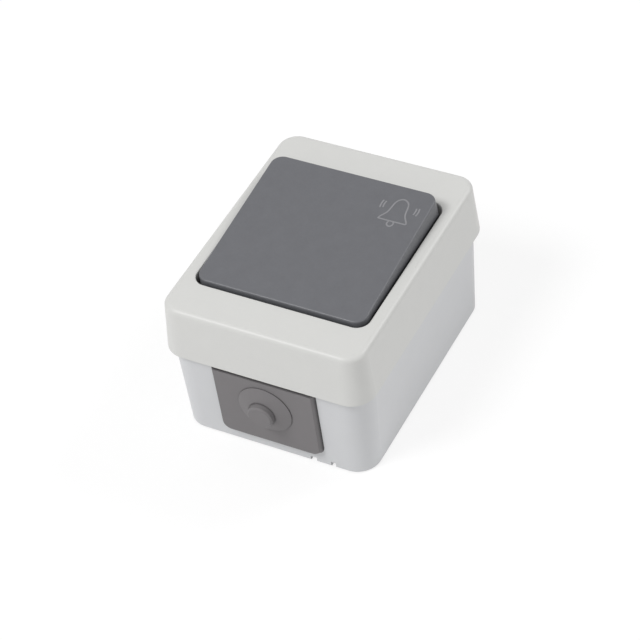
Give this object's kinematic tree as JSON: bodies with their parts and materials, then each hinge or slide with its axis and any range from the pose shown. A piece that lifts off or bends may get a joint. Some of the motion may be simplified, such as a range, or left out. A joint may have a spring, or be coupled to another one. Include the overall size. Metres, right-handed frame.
{
  "type": "surface bell push",
  "caption": "Surface-mounted bell push with a tilting key in a two-part case, a cable grommet in the end wall and a spring-return contact mechanism inside.",
  "frame": {"origin": "centre of the wall-screw pattern, in the plane of the wall", "axes": "+Z out of the wall, +Y from the cable grommet's end to the bell sign's end, +X to the right seen from in front with the grommet's end down"},
  "size_m": [0.066, 0.0877, 0.0533],
  "materials": {
    "cover_plastic": "fine matt, warm light grey",
    "base_plastic": "fine matt, cool light grey",
    "key_plastic": "fine matt, dark grey, with a light bell sign",
    "grommet_rubber": "matt, warm dark grey",
    "seal_rubber": "matt black",
    "mechanism_plastic": "matt black",
    "cradle_plastic": "satin white",
    "contact_brass": "stamped strip",
    "contact_silver": "satin silver",
    "zinc_steel": "bright zinc"
  },
  "bodies": {
    "case": {"base_box": "base_plastic", "cover_frame": "cover_plastic", "cover_gasket": "seal_rubber", "cable_grommet": "grommet_rubber", "actuator_seal": "seal_rubber", "mechanism_base": "mechanism_plastic", "mechanism_top": "mechanism_plastic", "return_spring": "zinc_steel", "fixed_contact_left": "contact_brass", "fixed_contact_right": "contact_brass", "fixed_tip_left": "contact_silver", "fixed_tip_right": "contact_silver", "terminal_cage_left": "contact_brass", "terminal_cage_right": "contact_brass", "terminal_screw_left": "zinc_steel", "terminal_screw_right": "zinc_steel", "mechanism_screw_left": "zinc_steel", "mechanism_screw_right": "zinc_steel", "housing_rivets": "zinc_steel", "cover_screw_near": "zinc_steel", "cover_screw_far": "zinc_steel"},
    "key": {"rocker_key": "key_plastic", "rocker_cradle": "cradle_plastic"},
    "push_rod": {"plunger": "cradle_plastic", "contact_bridge": "contact_brass", "bridge_tip_left": "contact_silver", "bridge_tip_right": "contact_silver"}
  },
  "joints": [
    {"name": "key_hinge", "type": "hinge", "parent": "case", "child": "key", "pos_m": [0, 0, 0.0365], "axis": [1, 0, 0], "range_deg": [-6.5, 0], "stiffness_Nm_per_rad": 0.4, "springref_deg": 5.73},
    {"name": "plunger_slide", "type": "slide", "parent": "case", "child": "push_rod", "axis": [0, 0, 1], "range_m": [-0.00137, 0], "deforming": ["return_spring"]}
  ],
  "couplings": [
    {"joint": "plunger_slide", "follows": "key_hinge", "m_per_rad": 0.012}
  ]
}
